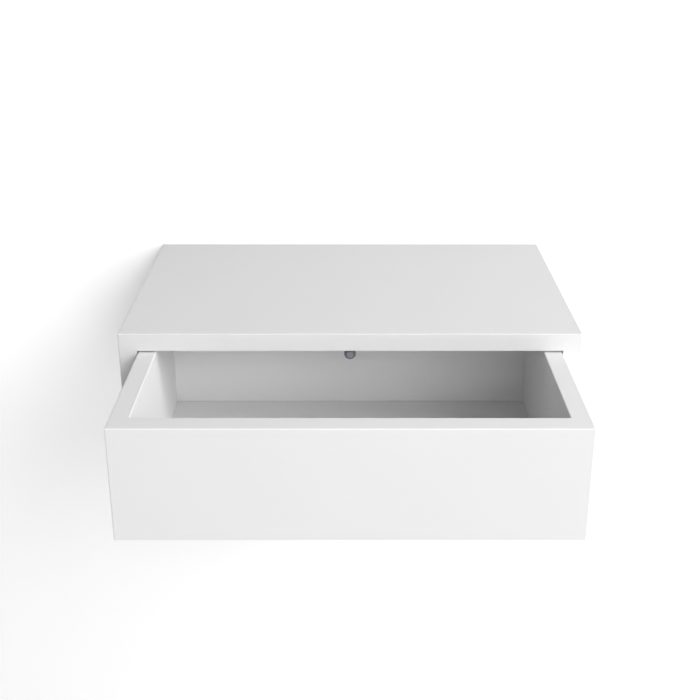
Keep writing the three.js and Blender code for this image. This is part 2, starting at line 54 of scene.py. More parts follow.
# Camera. It stands in front of the nightstand and a little above it, and looks down into the
# open drawer. The photograph's frame is square, and its lens is a short telephoto.
CAMERA_PLACE = Vector((0, -1.3443, 0.4891))
CAMERA_LOOKS_DOWN = 22.436
SENSOR_WIDTH = 36
PHOTO_WIDTH_PX = 700
FOCAL_LENGTH_PX = 1137.5

camera = bpy.data.objects.new("camera", bpy.data.cameras.new("camera"))
camera.data.sensor_width = SENSOR_WIDTH
camera.data.lens = FOCAL_LENGTH_PX * SENSOR_WIDTH / PHOTO_WIDTH_PX
camera.location = CAMERA_PLACE
camera.rotation_euler = (math.radians(90 - CAMERA_LOOKS_DOWN), 0, 0)
scene.collection.objects.link(camera)
scene.camera = camera


# Cabinet boards: 18 mm particle board faced in matt white melamine, with a matching band on
# every edge but the rear one, which stays raw against the wall. The arrises are eased by 1 mm.
WHITE = (0.84, 0.84, 0.84, 1)
WHITE_DULL = (0.82, 0.82, 0.82, 1)
# Painted highlight: the eased arrises get a lighter white than the facing.
ARRIS_PAINTED_HIGHLIGHT = (0.96, 0.96, 0.96, 1)
BAND_GLUE = (0.78, 0.775, 0.765, 1)
MM = 0.001
ARRIS_WIDTH = 1.3 * MM
BAND_LINE = 1.6 * MM
BAND_LINE_WIDTH = 0.08 * MM
CORE_DEPTHS = (0.4 * MM, 0.48 * MM)
RAW_SKIN = 0.2 * MM
FAR = 10.0
CLOUD_SCALE = 7.0
PEARL_SCALE = 2400.0
SHEEN_SCALE = 55.0
SHEEN_RANGE = (0.3, 0.7)
FACING_ROUGHNESS = (0.64, 0.72)
FACING_GLOSS = 0.2
ARRIS_SMOOTHER = 0.15
RAW_ROUGHNESS = 0.85
CHIP_LIGHT = (0.78, 0.6, 0.4, 1)
CHIP_DARK = (0.25, 0.155, 0.08, 1)
CHIP_SCALES = (560.0, 1500.0)
CHIP_LONG = 0.8
CHIP_FLAT = 2.4
CHIP_WARP = 1.1 * MM
WARP_SCALE = 500.0
FINE_LAYER = 2.2 * MM
COARSE_SHARES = (0.15, 0.75)
GAP_WIDTH = 0.14
GAP_SHADE = 0.72
CHIP_TONES = (0.1, 0.85)


def wire(tree, kind, inputs, **settings):
    """Adds a node to a tree, sets it, and joins or fills its inputs by name or number."""
    made = tree.nodes.new(kind)
    for name, value in settings.items():
        setattr(made, name, value)
    for name, value in inputs.items():
        socket = made.inputs[name]
        if isinstance(value, bpy.types.NodeSocket):
            tree.links.new(value, socket)
        else:
            socket.default_value = value
    return made


def out(tree, kind, inputs, **settings):
    """Adds a node in the same way and gives its first output."""
    return wire(tree, kind, inputs, **settings).outputs[0]


def new_material(name):
    material = bpy.data.materials.new(name)
    material.use_nodes = True
    material.node_tree.nodes.clear()
    return material, material.node_tree


def object_place(tree):
    return wire(tree, "ShaderNodeTexCoord", {}).outputs["Object"]


def noise(tree, place, scale, detail=2.0, rough=0.5):
    inputs = {"Vector": place, "Scale": scale, "Detail": detail, "Roughness": rough}
    return wire(tree, "ShaderNodeTexNoise", inputs).outputs["Fac"]


def between(tree, value, low, high, out_low=0.0, out_high=1.0):
    inputs = {"Value": value, 1: low, 2: high, 3: out_low, 4: out_high}
    return out(tree, "ShaderNodeMapRange", inputs)


def maths(tree, operation, first, second=0.0):
    return out(tree, "ShaderNodeMath", {0: first, 1: second}, operation=operation)


def plus(tree, first, second):
    return maths(tree, "ADD", first, second)


def minus(tree, first, second):
    return maths(tree, "SUBTRACT", first, second)


def times(tree, first, second):
    return maths(tree, "MULTIPLY", first, second)


def blend_colour(tree, share, first, second):
    inputs = {0: share, 6: first, 7: second}
    return wire(tree, "ShaderNodeMix", inputs, data_type="RGBA").outputs[2]


def scaled(tree, vector, scale):
    inputs = {0: vector, "Scale": scale}
    return out(tree, "ShaderNodeVectorMath", inputs, operation="SCALE")


def stretched(tree, place, scales):
    return out(tree, "ShaderNodeMapping", {"Vector": place, "Scale": scales})


def bumps(tree, height, strength, distance):
    inputs = {"Strength": strength, "Distance": distance, "Height": height}
    return out(tree, "ShaderNodeBump", inputs)


def close_surface(tree, colour, roughness, normal, **constants):
    """Ends a material in one principled shader; constants are set on its own sockets."""
    inputs = {"Base Color": colour, "Roughness": roughness, "Normal": normal}
    inputs.update({name.replace("_", " "): value for name, value in constants.items()})
    shader = wire(tree, "ShaderNodeBsdfPrincipled", inputs)
    wire(tree, "ShaderNodeOutputMaterial", {"Surface": shader.outputs[0]})


def least_of(tree, values):
    least = values[0]
    for value in values[1:]:
        least = maths(tree, "MINIMUM", least, value)
    return least


def board_depths(tree, place, node, outer):
    """How deep a point lies under the board's faces, and how far from its nearest eased arris,
    where two of the outer faces meet, such as -y and +z."""
    low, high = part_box(node)
    parts = wire(tree, "ShaderNodeSeparateXYZ", {0: place}).outputs
    depths, from_outer = [], []
    for i, letter in enumerate("xyz"):
        pair = {"-": minus(tree, parts[i], low[i]), "+": minus(tree, high[i], parts[i])}
        depths += pair.values()
        shown = [depth for sign, depth in pair.items() if sign + letter in outer]
        from_outer.append(least_of(tree, shown or [FAR]))
    x, y, z = from_outer
    farther = maths(tree, "MINIMUM", maths(tree, "MAXIMUM", x, y), z)
    from_arris = maths(tree, "MAXIMUM", maths(tree, "MINIMUM", x, y), farther)
    return least_of(tree, depths), from_arris


def chipboard(tree, place, node):
    """Colour and height of the raw core: flat chips that lie in the board's plane, fine near its
    faces and coarse in its middle, with shallow gaps between them."""
    low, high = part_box(node)
    thin = min(range(3), key=lambda i: high[i] - low[i])
    level = wire(tree, "ShaderNodeSeparateXYZ", {0: place}).outputs[thin]
    under_face = least_of(tree, [minus(tree, level, low[thin]), minus(tree, high[thin], level)])
    coarse = between(tree, under_face, FINE_LAYER, 2 * FINE_LAYER, *COARSE_SHARES)
    inputs = {"Vector": place, "Scale": WARP_SCALE, "Detail": 2.0}
    warp = wire(tree, "ShaderNodeTexNoise", inputs).outputs["Color"]
    warp = scaled(tree, warp, CHIP_WARP)
    place = out(tree, "ShaderNodeVectorMath", {0: place, 1: warp}, operation="ADD")
    stretch = [CHIP_LONG, CHIP_LONG, CHIP_LONG]
    stretch[thin] = CHIP_FLAT
    place = stretched(tree, place, stretch)
    tones, gaps = [], []
    for scale in CHIP_SCALES:
        inputs = {"Vector": place, "Scale": scale}
        chips = wire(tree, "ShaderNodeTexVoronoi", inputs).outputs["Color"]
        tones.append(out(tree, "ShaderNodeSeparateColor", {0: chips}))
        edges = wire(tree, "ShaderNodeTexVoronoi", inputs, feature="DISTANCE_TO_EDGE")
        gaps.append(between(tree, edges.outputs["Distance"], 0.0, GAP_WIDTH))
    tone, body = (
        out(tree, "ShaderNodeMix", {0: coarse, 2: fine, 3: rough})
        for rough, fine in (tones, gaps)
    )
    shade = between(tree, body, 0.0, 1.0, GAP_SHADE, 1.0)
    tone = times(tree, between(tree, tone, *CHIP_TONES), shade)
    return blend_colour(tree, tone, CHIP_DARK, CHIP_LIGHT), body


def faced_board(node, outer, raw_rear=False):
    """White melamine facing, with a painted highlight and smoother on the eased arrises, over a
    raw core that shows in bores and grooves and, where raw_rear says so, on the rear edge."""
    material, tree = new_material(f"{node}_board")
    place = object_place(tree)
    depth, from_arris = board_depths(tree, place, node, outer)
    raw = between(tree, depth, *CORE_DEPTHS)
    if raw_rear:
        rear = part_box(node)[1].y
        y = wire(tree, "ShaderNodeSeparateXYZ", {0: place}).outputs[1]
        raw = maths(tree, "MAXIMUM", raw, between(tree, y, rear - RAW_SKIN, rear - RAW_SKIN / 2))
    arris = between(tree, from_arris, ARRIS_WIDTH, 0.0)
    inputs = {0: from_arris, 1: BAND_LINE, 2: BAND_LINE_WIDTH}
    on_line = out(tree, "ShaderNodeMath", inputs, operation="COMPARE")
    facing = blend_colour(tree, noise(tree, place, CLOUD_SCALE, detail=3.0), WHITE_DULL, WHITE)
    facing = blend_colour(tree, on_line, facing, BAND_GLUE)
    # Painted highlight: the facing turns lighter towards the eased arrises.
    facing = blend_colour(tree, times(tree, arris, arris), facing, ARRIS_PAINTED_HIGHLIGHT)
    core, chips = chipboard(tree, place, node)
    colour = blend_colour(tree, raw, facing, core)
    sheen = noise(tree, place, SHEEN_SCALE)
    sheen = between(tree, sheen, *SHEEN_RANGE, *FACING_ROUGHNESS)
    worn = minus(tree, sheen, times(tree, arris, ARRIS_SMOOTHER))
    roughness = maths(tree, "MAXIMUM", worn, times(tree, raw, RAW_ROUGHNESS))
    pearl = noise(tree, place, PEARL_SCALE, detail=1.0)
    pearl = bumps(tree, pearl, strength=0.12, distance=0.06 * MM)
    rough_core = times(tree, raw, chips)
    inputs = {"Strength": 0.6, "Distance": 0.5 * MM, "Height": rough_core, "Normal": pearl}
    relief = out(tree, "ShaderNodeBump", inputs)
    close_surface(tree, colour, roughness, relief, Specular_IOR_Level=FACING_GLOSS)
    return material


def coat(piece, material):
    piece.data.materials.clear()
    piece.data.materials.append(material)


for name, outer in (
    ("bottom_panel", ("-x", "+x", "-y", "-z")),
    ("left_side_panel", ("-x", "-y")),
    ("right_side_panel", ("+x", "-y")),
    ("top_panel", ("-x", "+x", "-y", "+z")),
):
    coat(nodes[name], faced_board(name, outer, raw_rear=True))


# Dowels: fluted beech pins, 8 by 30 mm, glued into the ends of the side panels and pushed into
# the bores of the top and bottom panels. The grain runs along them.
DOWEL_SIZES = {
    "Length": 30 * MM,
    "Radius": 4 * MM,
    "Chamfer": 0.8 * MM,
    "Flute Depth": 0.35 * MM,
    "Flutes": 20.0,
}
DOWEL_FACETS = 120
BEECH_LIGHT = (0.72, 0.52, 0.29, 1)
BEECH_DARK = (0.5, 0.31, 0.14, 1)
GRAIN_SCALE = 1900.0
PORE_SCALE = 5200.0
GRAIN_DRAWN = (1, 1, 0.06)
BEECH_ROUGHNESS = (0.6, 0.8)
SMOOTH_ANGLE = math.radians(32)
MERGE_DISTANCE = 1e-7


def size_tree(name, sizes):
    """A node tree with named inputs; its outputs by name are the sizes and the places."""
    tree = bpy.data.node_groups.new(name, "GeometryNodeTree")
    tree.interface.new_socket("Places", in_out="INPUT", socket_type="NodeSocketGeometry")
    for size in sizes:
        tree.interface.new_socket(size, in_out="INPUT", socket_type="NodeSocketFloat")
    tree.interface.new_socket("Pieces", in_out="OUTPUT", socket_type="NodeSocketGeometry")
    return tree, tree.nodes.new("NodeGroupInput").outputs


def pick(tree, values):
    """The value whose place in the list is the point's number."""
    switch = tree.nodes.new("GeometryNodeIndexSwitch")
    switch.data_type = "FLOAT"
    while len(switch.index_switch_items) < len(values):
        switch.index_switch_items.new()
    tree.links.new(out(tree, "GeometryNodeInputIndex", {}), switch.inputs[0])
    for socket, value in zip(switch.inputs[1:], values):
        if isinstance(value, bpy.types.NodeSocket):
            tree.links.new(value, socket)
        else:
            socket.default_value = value
    return switch.outputs[0]


def ring(tree, facets, radius=1.0):
    inputs = {"Resolution": facets, "Radius": radius}
    return out(tree, "GeometryNodeCurvePrimitiveCircle", inputs)


def swept(tree, line, section, scale=1.0):
    inputs = {"Curve": line, "Profile Curve": section, "Scale": scale, "Fill Caps": True}
    return out(tree, "GeometryNodeCurveToMesh", inputs)


def turned(tree, stations, outline):
    """A closed form along Z: the outline, scaled by the radius and set at the height of each
    station, lowest first, with both ends capped."""
    line = out(tree, "GeometryNodeCurvePrimitiveLine", {})
    inputs = {"Curve": line, "Count": len(stations)}
    line = out(tree, "GeometryNodeResampleCurve", inputs)
    height = pick(tree, [height for _, height in stations])
    place = out(tree, "ShaderNodeCombineXYZ", {2: height})
    line = out(tree, "GeometryNodeSetPosition", {"Geometry": line, "Position": place})
    return swept(tree, line, outline, pick(tree, [radius for radius, _ in stations]))


def set_out(tree, places, pattern, material):
    """Puts the pattern at each place, its Z along the outwards and its X along the sideways."""
    axes = []
    for name in ("outwards", "sideways"):
        kind = "GeometryNodeInputNamedAttribute"
        axes.append(out(tree, kind, {"Name": name}, data_type="FLOAT_VECTOR"))
    kind = "FunctionNodeAxesToRotation"
    inputs = {"Primary Axis": axes[0], "Secondary Axis": axes[1]}
    turn = out(tree, kind, inputs, primary_axis="Z", secondary_axis="X")
    inputs = {"Points": places, "Instance": pattern, "Rotation": turn}
    copies = out(tree, "GeometryNodeInstanceOnPoints", inputs)
    real = out(tree, "GeometryNodeRealizeInstances", {"Geometry": copies})
    done = wire(tree, "GeometryNodeSetMaterial", {"Geometry": real, "Material": material})
    wire(tree, "NodeGroupOutput", {"Pieces": done.outputs[0]})


def soften(mesh, angle=SMOOTH_ANGLE):
    """Turns every face outwards, and shades smooth all but the sharp edges."""
    shape = bmesh.new()
    shape.from_mesh(mesh)
    bmesh.ops.remove_doubles(shape, verts=shape.verts, dist=MERGE_DISTANCE)
    bmesh.ops.recalc_face_normals(shape, faces=shape.faces)
    shape.to_mesh(mesh)
    shape.free()
    mesh.shade_smooth()
    mesh.set_sharp_from_angle(angle=angle)


def settle(piece):
    """Keeps what the modifiers make as the piece's own mesh."""
    evaluated = piece.evaluated_get(bpy.context.evaluated_depsgraph_get())
    mesh = bpy.data.meshes.new_from_object(evaluated)
    piece.modifiers.clear()
    piece.data = mesh


def grow(name, tree, sizes, places, edges=()):
    """Runs a tree on places, each a point with its outwards and sideways, and keeps the mesh."""
    seeds = bpy.data.meshes.new(name)
    seeds.from_pydata([place[0] for place in places], edges, [])
    for column, label in ((1, "outwards"), (2, "sideways")):
        attribute = seeds.attributes.new(label, "FLOAT_VECTOR", "POINT")
        for item, place in zip(attribute.data, places):
            item.vector = place[column]
    piece = bpy.data.objects.new(name, seeds)
    scene.collection.objects.link(piece)
    modifier = piece.modifiers.new("nodes", "NODES")
    modifier.node_group = tree
    for item in tree.interface.items_tree:
        if item.in_out == "INPUT" and item.name in sizes:
            modifier[item.identifier] = sizes[item.name]
    settle(piece)
    soften(piece.data)
    return piece


def fit(piece, body, replaced):
    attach(piece, body)
    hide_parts(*replaced)


def nodes_named(start):
    return sorted(name for name in nodes if name.startswith(start))


def middle(node):
    low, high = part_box(node)
    return (low + high) / 2


def beech():
    material, tree = new_material("beech")
    place = object_place(tree)
    drawn = stretched(tree, place, GRAIN_DRAWN)
    grain = noise(tree, drawn, GRAIN_SCALE, detail=3.0)
    pores = noise(tree, drawn, PORE_SCALE, detail=1.0)
    pores = bumps(tree, pores, strength=0.4, distance=0.1 * MM)
    colour = blend_colour(tree, grain, BEECH_LIGHT, BEECH_DARK)
    close_surface(tree, colour, between(tree, grain, 0, 1, *BEECH_ROUGHNESS), pores)
    return material


def dowel_tree(material):
    """The outline's radius swells and sinks with the angle, which makes the flutes."""
    tree, sizes = size_tree("fluted_dowel", DOWEL_SIZES)
    circle = ring(tree, DOWEL_FACETS)
    place = out(tree, "GeometryNodeInputPosition", {})
    x, y, _ = wire(tree, "ShaderNodeSeparateXYZ", {0: place}).outputs
    turn = times(tree, maths(tree, "ARCTAN2", y, x), sizes["Flutes"])
    wave = maths(tree, "COSINE", turn)
    half_share = times(tree, maths(tree, "DIVIDE", sizes["Flute Depth"], sizes["Radius"]), 0.5)
    swell = plus(tree, 1.0, times(tree, minus(tree, wave, 1.0), half_share))
    fluted = scaled(tree, place, swell)
    inputs = {"Geometry": circle, "Position": fluted}
    outline = out(tree, "GeometryNodeSetPosition", inputs)
    half = times(tree, sizes["Length"], 0.5)
    below = times(tree, half, -1.0)
    narrow = minus(tree, sizes["Radius"], sizes["Chamfer"])
    pattern = turned(tree, [
        (narrow, below),
        (sizes["Radius"], plus(tree, below, sizes["Chamfer"])),
        (sizes["Radius"], minus(tree, half, sizes["Chamfer"])),
        (narrow, half),
    ], outline)
    set_out(tree, sizes["Places"], pattern, material)
    return tree


dowel_names = nodes_named("dowel_")
dowel_places = [(middle(name), (0, 0, 1), (1, 0, 0)) for name in dowel_names]
dowels = grow("corner_dowels", dowel_tree(beech()), DOWEL_SIZES, dowel_places)
fit(dowels, "cabinet", dowel_names)


# Cams: die-cast zinc drums, 15 mm wide, set flush in the inner faces of the sides. A quarter
# turn with a screwdriver in the cross pulls the bolt's head in and locks the corner.
CAM_SIZES = {
    "Radius": 7.5 * MM,
    "Length": 13.2 * MM,
    "Rim": 0.4 * MM,
    "Shell": 2 * MM,
    "Bolt Line": 9 * MM,
    "Head Room": 3.05 * MM,
    "Neck Room": 2.05 * MM,
    "Cross Span": 8 * MM,
    "Cross Width": 1.4 * MM,
    "Cross Depth": 2.2 * MM,
    "Dish": 0.35 * MM,
}
CAM_FACETS = 64
CUT_PAST = 2 * MM
ZINC_LIGHT = (0.52, 0.53, 0.55, 1)
ZINC_DARK = (0.36, 0.37, 0.39, 1)
CAST_SCALE = 900.0
STAIN_SCALE = 160.0
CAST_RANGE = (0.2, 0.8)
CAST_ROUGHNESS = (0.38, 0.6)


def cast_zinc():
    material, tree = new_material("cast_zinc")
    place = object_place(tree)
    skin = noise(tree, place, CAST_SCALE, detail=4.0, rough=0.6)
    colour = blend_colour(tree, noise(tree, place, STAIN_SCALE), ZINC_DARK, ZINC_LIGHT)
    roughness = between(tree, skin, *CAST_RANGE, *CAST_ROUGHNESS)
    grit = bumps(tree, skin, strength=0.35, distance=0.15 * MM)
    close_surface(tree, colour, roughness, grit, Metallic=1.0)
    return material


def cuboid(tree, size, centre):
    """A block in the tree, given by its three sizes and its centre."""
    span = out(tree, "ShaderNodeCombineXYZ", dict(enumerate(size)))
    shift = out(tree, "ShaderNodeCombineXYZ", dict(enumerate(centre)))
    block = out(tree, "GeometryNodeMeshCube", {"Size": span})
    return out(tree, "GeometryNodeTransform", {"Geometry": block, "Translation": shift})


def cross_arms(tree, span, width, deep):
    """The two blocks that cut a cross, half of them above height zero."""
    sizes = ((span, width, deep), (width, span, deep))
    return [cuboid(tree, size, (0.0, 0.0, 0.0)) for size in sizes]


def cut_away(tree, solid, cutters):
    kind = "GeometryNodeMeshBoolean"
    cut = wire(tree, kind, {"Mesh 1": solid}, operation="DIFFERENCE", solver="EXACT")
    for cutter in cutters:
        tree.links.new(cutter, cut.inputs["Mesh 2"])
    return cut.outputs[0]


def cam_tree(material):
    """The slotted face looks along Z, and the bolt comes in along X, half the board deep."""
    tree, sizes = size_tree("cam", CAM_SIZES)
    back = times(tree, sizes["Length"], -1.0)
    narrow = minus(tree, sizes["Radius"], sizes["Rim"])
    under_rim = times(tree, sizes["Rim"], -1.0)
    drum = turned(tree, [
        (narrow, back),
        (sizes["Radius"], plus(tree, back, sizes["Rim"])),
        (sizes["Radius"], under_rim),
        (narrow, 0.0),
    ], ring(tree, CAM_FACETS))
    line = times(tree, sizes["Bolt Line"], -1.0)
    inside = minus(tree, sizes["Radius"], sizes["Shell"])
    chamber = turned(tree, [
        (inside, minus(tree, line, sizes["Head Room"])),
        (inside, plus(tree, line, sizes["Head Room"])),
    ], ring(tree, CAM_FACETS))
    reach = plus(tree, sizes["Radius"], CUT_PAST)
    half_reach = times(tree, reach, 0.5)
    head = times(tree, sizes["Head Room"], 2.0)
    neck = times(tree, sizes["Neck Room"], 2.0)
    bolt_way = cuboid(tree, (reach, neck, neck), (half_reach, 0.0, line))
    mouth = cuboid(tree, (head, reach, head), (0.0, half_reach, line))
    quarter = cuboid(tree, (reach, reach, neck), (half_reach, half_reach, line))
    dish = turned(tree, [
        (minus(tree, narrow, sizes["Rim"]), times(tree, sizes["Dish"], -1.0)),
        (minus(tree, narrow, sizes["Rim"]), CUT_PAST),
    ], ring(tree, CAM_FACETS))
    deep = times(tree, sizes["Cross Depth"], 2.0)
    cross = cross_arms(tree, sizes["Cross Span"], sizes["Cross Width"], deep)
    pattern = cut_away(tree, drum, [chamber, bolt_way, mouth, quarter, dish, *cross])
    set_out(tree, sizes["Places"], pattern, material)
    return tree


cams = cam_tree(cast_zinc())


def cam_place(node, bolt_way):
    """The cam's face is flush with the board's inner face, and its bolt comes in one way."""
    x, y, z = middle(node)
    side = math.copysign(1, x)
    face = min(abs(corner.x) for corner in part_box(node))
    return (side * face, y, z), (-side, 0, 0), bolt_way


cam_names = [name for name in nodes_named("cam_") if "bolt" not in name]
cam_places = [cam_place(name, (0, 0, math.copysign(1, middle(name).z))) for name in cam_names]
cabinet_cams = grow("cabinet_cams", cams, CAM_SIZES, cam_places)
fit(cabinet_cams, "cabinet", cam_names)

cam_names = [name for name in nodes_named("drawer_cam_") if "bolt" not in name]
cam_places = [cam_place(name, (0, -1, 0)) for name in cam_names]
drawer_cams = grow("drawer_cams", cams, CAM_SIZES, cam_places)
fit(drawer_cams, "drawer", cam_names)


# Cam bolts: zinc plated steel, screwed into the panels by their coarse thread; shank and neck
# stand out of the panel, and the cam holds the head.
BOLT_SIZES = {
    "Thread Root": 2.1 * MM,
    "Thread Length": 11 * MM,
    "Thread Height": 0.85 * MM,
    "Thread Pitch": 2.2 * MM,
    "Shank": 3.5 * MM,
    "Neck": 1.75 * MM,
    "Neck Start": 15 * MM,
    "Head": 2.75 * MM,
    "Head Start": 19.55 * MM,
    "Head Length": 3 * MM,
    "Bevel": 0.3 * MM,
}
BOLT_FACETS = 40
TURN_STEPS = 28
THREAD_SIDES = 3
THREAD_SHAPE = (1, 0.6, 1)
STEP = 0.002 * MM
THREAD_SHARE = 0.86
THREAD_END = 0.07
RUN_OUT = 0.12
RUN_OUT_HEIGHT = 0.15
STEEL_LIGHT = (0.62, 0.63, 0.65, 1)
STEEL_BLUE = (0.43, 0.47, 0.52, 1)
BLOOM_SCALE = 260.0
SCUFF_SCALE = 2600.0
SCUFF_DRAWN = (0.08, 1, 1)
BLOOM_RANGE = (0.3, 0.7)
STEEL_ROUGHNESS = (0.22, 0.36)


def plated_steel():
    material, tree = new_material("plated_steel")
    place = object_place(tree)
    bloom = noise(tree, place, BLOOM_SCALE, detail=5.0, rough=0.65)
    scuffs = noise(tree, stretched(tree, place, SCUFF_DRAWN), SCUFF_SCALE, detail=3.0)
    colour = blend_colour(tree, bloom, STEEL_LIGHT, STEEL_BLUE)
    roughness = between(tree, bloom, *BLOOM_RANGE, *STEEL_ROUGHNESS)
    scuffs = bumps(tree, scuffs, strength=0.15, distance=0.05 * MM)
    close_surface(tree, colour, roughness, scuffs, Metallic=1.0)
    return material


def helix(tree, radius, turns, length, steps):
    inputs = {"Resolution": steps, "Rotations": turns, "Height": length}
    inputs.update({"Start Radius": radius, "End Radius": radius})
    return out(tree, "GeometryNodeCurveSpiral", inputs)


def thread(tree, root, height, pitch, start, length):
    """A ridge that winds round the root from a start along Z, and runs out at both ends."""
    turns = maths(tree, "DIVIDE", length, pitch)
    coil = helix(tree, root, turns, length, TURN_STEPS)
    coil = out(tree, "GeometryNodeSetCurveNormal", {"Curve": coil}, mode="Z_UP")
    along = out(tree, "GeometryNodeSplineParameter", {})
    from_end = maths(tree, "MINIMUM", along, minus(tree, 1.0, along))
    run_out = between(tree, from_end, 0.0, RUN_OUT, RUN_OUT_HEIGHT, 1.0)
    section = ring(tree, THREAD_SIDES, height)
    inputs = {"Geometry": section, "Rotation": (0, 0, math.pi), "Scale": THREAD_SHAPE}
    section = out(tree, "GeometryNodeTransform", inputs)
    ridge = swept(tree, coil, section, run_out)
    shift = out(tree, "ShaderNodeCombineXYZ", {2: start})
    return out(tree, "GeometryNodeTransform", {"Geometry": ridge, "Translation": shift})


def together(tree, shapes):
    join = tree.nodes.new("GeometryNodeJoinGeometry")
    for shape in shapes:
        tree.links.new(shape, join.inputs[0])
    return join.outputs[0]


def bolt_tree(material):
    """Height zero is the joint's plane: the thread is above it, the shank and head below."""
    tree, sizes = size_tree("cam_bolt", BOLT_SIZES)
    head_start = times(tree, sizes["Head Start"], -1.0)
    head_end = minus(tree, head_start, sizes["Head Length"])
    neck_start = times(tree, sizes["Neck Start"], -1.0)
    bevelled = minus(tree, sizes["Head"], sizes["Bevel"])
    tip = minus(tree, sizes["Thread Root"], sizes["Bevel"])
    body = turned(tree, [
        (bevelled, head_end),
        (sizes["Head"], plus(tree, head_end, sizes["Bevel"])),
        (sizes["Head"], minus(tree, head_start, sizes["Bevel"])),
        (bevelled, head_start),
        (sizes["Neck"], plus(tree, head_start, STEP)),
        (sizes["Neck"], minus(tree, neck_start, sizes["Bevel"])),
        (sizes["Shank"], neck_start),
        (sizes["Shank"], -STEP),
        (sizes["Thread Root"], 0.0),
        (sizes["Thread Root"], minus(tree, sizes["Thread Length"], sizes["Bevel"])),
        (tip, sizes["Thread Length"]),
    ], ring(tree, BOLT_FACETS))
    length = times(tree, sizes["Thread Length"], THREAD_SHARE)
    start = times(tree, sizes["Thread Length"], THREAD_END)
    root, height, pitch = (sizes[f"Thread {part}"] for part in ("Root", "Height", "Pitch"))
    ridge = thread(tree, root, height, pitch, start, length)
    set_out(tree, sizes["Places"], together(tree, [body, ridge]), material)
    return tree


steel = plated_steel()
bolts = bolt_tree(steel)
bolt_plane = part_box("left_side_panel")[1].z
bolt_names = nodes_named("cam_bolt_")
bolt_places = []
for name in bolt_names:
    x, y, z = middle(name)
    level = math.copysign(1, z)
    bolt_places.append(((x, y, level * bolt_plane), (0, 0, level), (1, 0, 0)))
cabinet_bolts = grow("cabinet_cam_bolts", bolts, BOLT_SIZES, bolt_places)
fit(cabinet_bolts, "cabinet", bolt_names)

front_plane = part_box("drawer_front")[1].y
bolt_names = nodes_named("drawer_cam_bolt_")
bolt_places = []
for name in bolt_names:
    x, _, z = middle(name)
    bolt_places.append(((x, front_plane, z), (0, -1, 0), (1, 0, 0)))
drawer_bolts = grow("drawer_cam_bolts", bolts, BOLT_SIZES, bolt_places)
fit(drawer_bolts, "drawer", bolt_names)


# Back panel: 3 mm hardboard, white lacquer towards the drawer, bare brown fibre towards the
# wall. It lies in rebates of the top and bottom panels, flush with their rear edges.
LACQUER = (0.81, 0.81, 0.81, 1)
FIBRE_LIGHT = (0.45, 0.29, 0.16, 1)
FIBRE_DARK = (0.25, 0.145, 0.075, 1)
SCREEN_PITCH = 1.7 * MM
FIBRE_SCALE = 420.0
PATCH_SCALE = 24.0
FIBRE_SHARE, PATCH_SHARE, SCREEN_SHARE = 0.7, 0.3, 0.07
FIBRE_RANGE = (0.25, 0.75)
SCREEN_RELIEF = 0.5
LACQUER_RELIEF = 0.1
LACQUER_ROUGHNESS = 0.45
FIBRE_ROUGHER = 0.4


def ripple(tree, value, pitch):
    return maths(tree, "SINE", times(tree, value, 2 * math.pi / pitch))


def hardboard(name, axis, bare_above, bare_below):
    """White lacquer on one face. Above or below a level of one axis it is bare pressed fibre,
    with the print of the wire screen that it was pressed on."""
    material, tree = new_material(name)
    place = object_place(tree)
    x, y, z = wire(tree, "ShaderNodeSeparateXYZ", {0: place}).outputs
    level = (x, y, z)[axis]
    above = between(tree, level, bare_above, bare_above + RAW_SKIN)
    below = between(tree, level, bare_below, bare_below - RAW_SKIN)
    bare = maths(tree, "MAXIMUM", above, below)
    weft = ripple(tree, plus(tree, y, z), SCREEN_PITCH)
    screen = times(tree, ripple(tree, x, SCREEN_PITCH), weft)
    fibres = noise(tree, place, FIBRE_SCALE, detail=6.0, rough=0.7)
    patches = noise(tree, place, PATCH_SCALE, detail=2.0)
    tone = plus(tree, times(tree, fibres, FIBRE_SHARE), times(tree, patches, PATCH_SHARE))
    tone = plus(tree, tone, times(tree, screen, SCREEN_SHARE))
    fibre = blend_colour(tree, between(tree, tone, *FIBRE_RANGE), FIBRE_DARK, FIBRE_LIGHT)
    colour = blend_colour(tree, bare, LACQUER, fibre)
    roughness = plus(tree, LACQUER_ROUGHNESS, times(tree, bare, FIBRE_ROUGHER))
    relief = plus(tree, fibres, times(tree, screen, SCREEN_RELIEF))
    relief = times(tree, relief, plus(tree, LACQUER_RELIEF, bare))
    relief = bumps(tree, relief, strength=0.3, distance=0.15 * MM)
    close_surface(tree, colour, roughness, relief)
    return material


CUT_FACETS = 48
BEVEL_STEPS = 3


def closed_mesh(shape, name):
    bmesh.ops.recalc_face_normals(shape, faces=shape.faces)
    mesh = bpy.data.meshes.new(name)
    shape.to_mesh(mesh)
    shape.free()
    return mesh


def slab(outline, axis, low, high):
    """A closed mesh: an outline in the two other directions, pushed along one of X, Y and Z."""
    shape = bmesh.new()
    ends = []
    for level in (low, high):
        points = []
        for u, v in outline:
            place = [u, v]
            place.insert(axis, level)
            points.append(shape.verts.new(place))
        ends.append(points)
    shape.faces.new(ends[0])
    shape.faces.new(reversed(ends[1]))
    for i, corner in enumerate(ends[0]):
        after = (i + 1) % len(outline)
        shape.faces.new((corner, ends[0][after], ends[1][after], ends[1][i]))
    return closed_mesh(shape, "slab")


def lathe(stations, place, axis, facets=CUT_FACETS):
    """A closed round form on one of X, Y and Z, from the radius and height of each station."""
    shape = bmesh.new()
    rows = []
    for radius, height in stations:
        points = []
        for i in range(facets):
            angle = 2 * math.pi * i / facets
            spot = [radius * math.cos(angle), radius * math.sin(angle)]
            spot.insert(axis, height)
            points.append(shape.verts.new(Vector(place) + Vector(spot)))
        rows.append(points)
    shape.faces.new(rows[0])
    shape.faces.new(rows[-1])
    for row, above in zip(rows, rows[1:]):
        for i in range(facets):
            after = (i + 1) % facets
            shape.faces.new((row[i], row[after], above[after], above[i]))
    return closed_mesh(shape, "lathe")


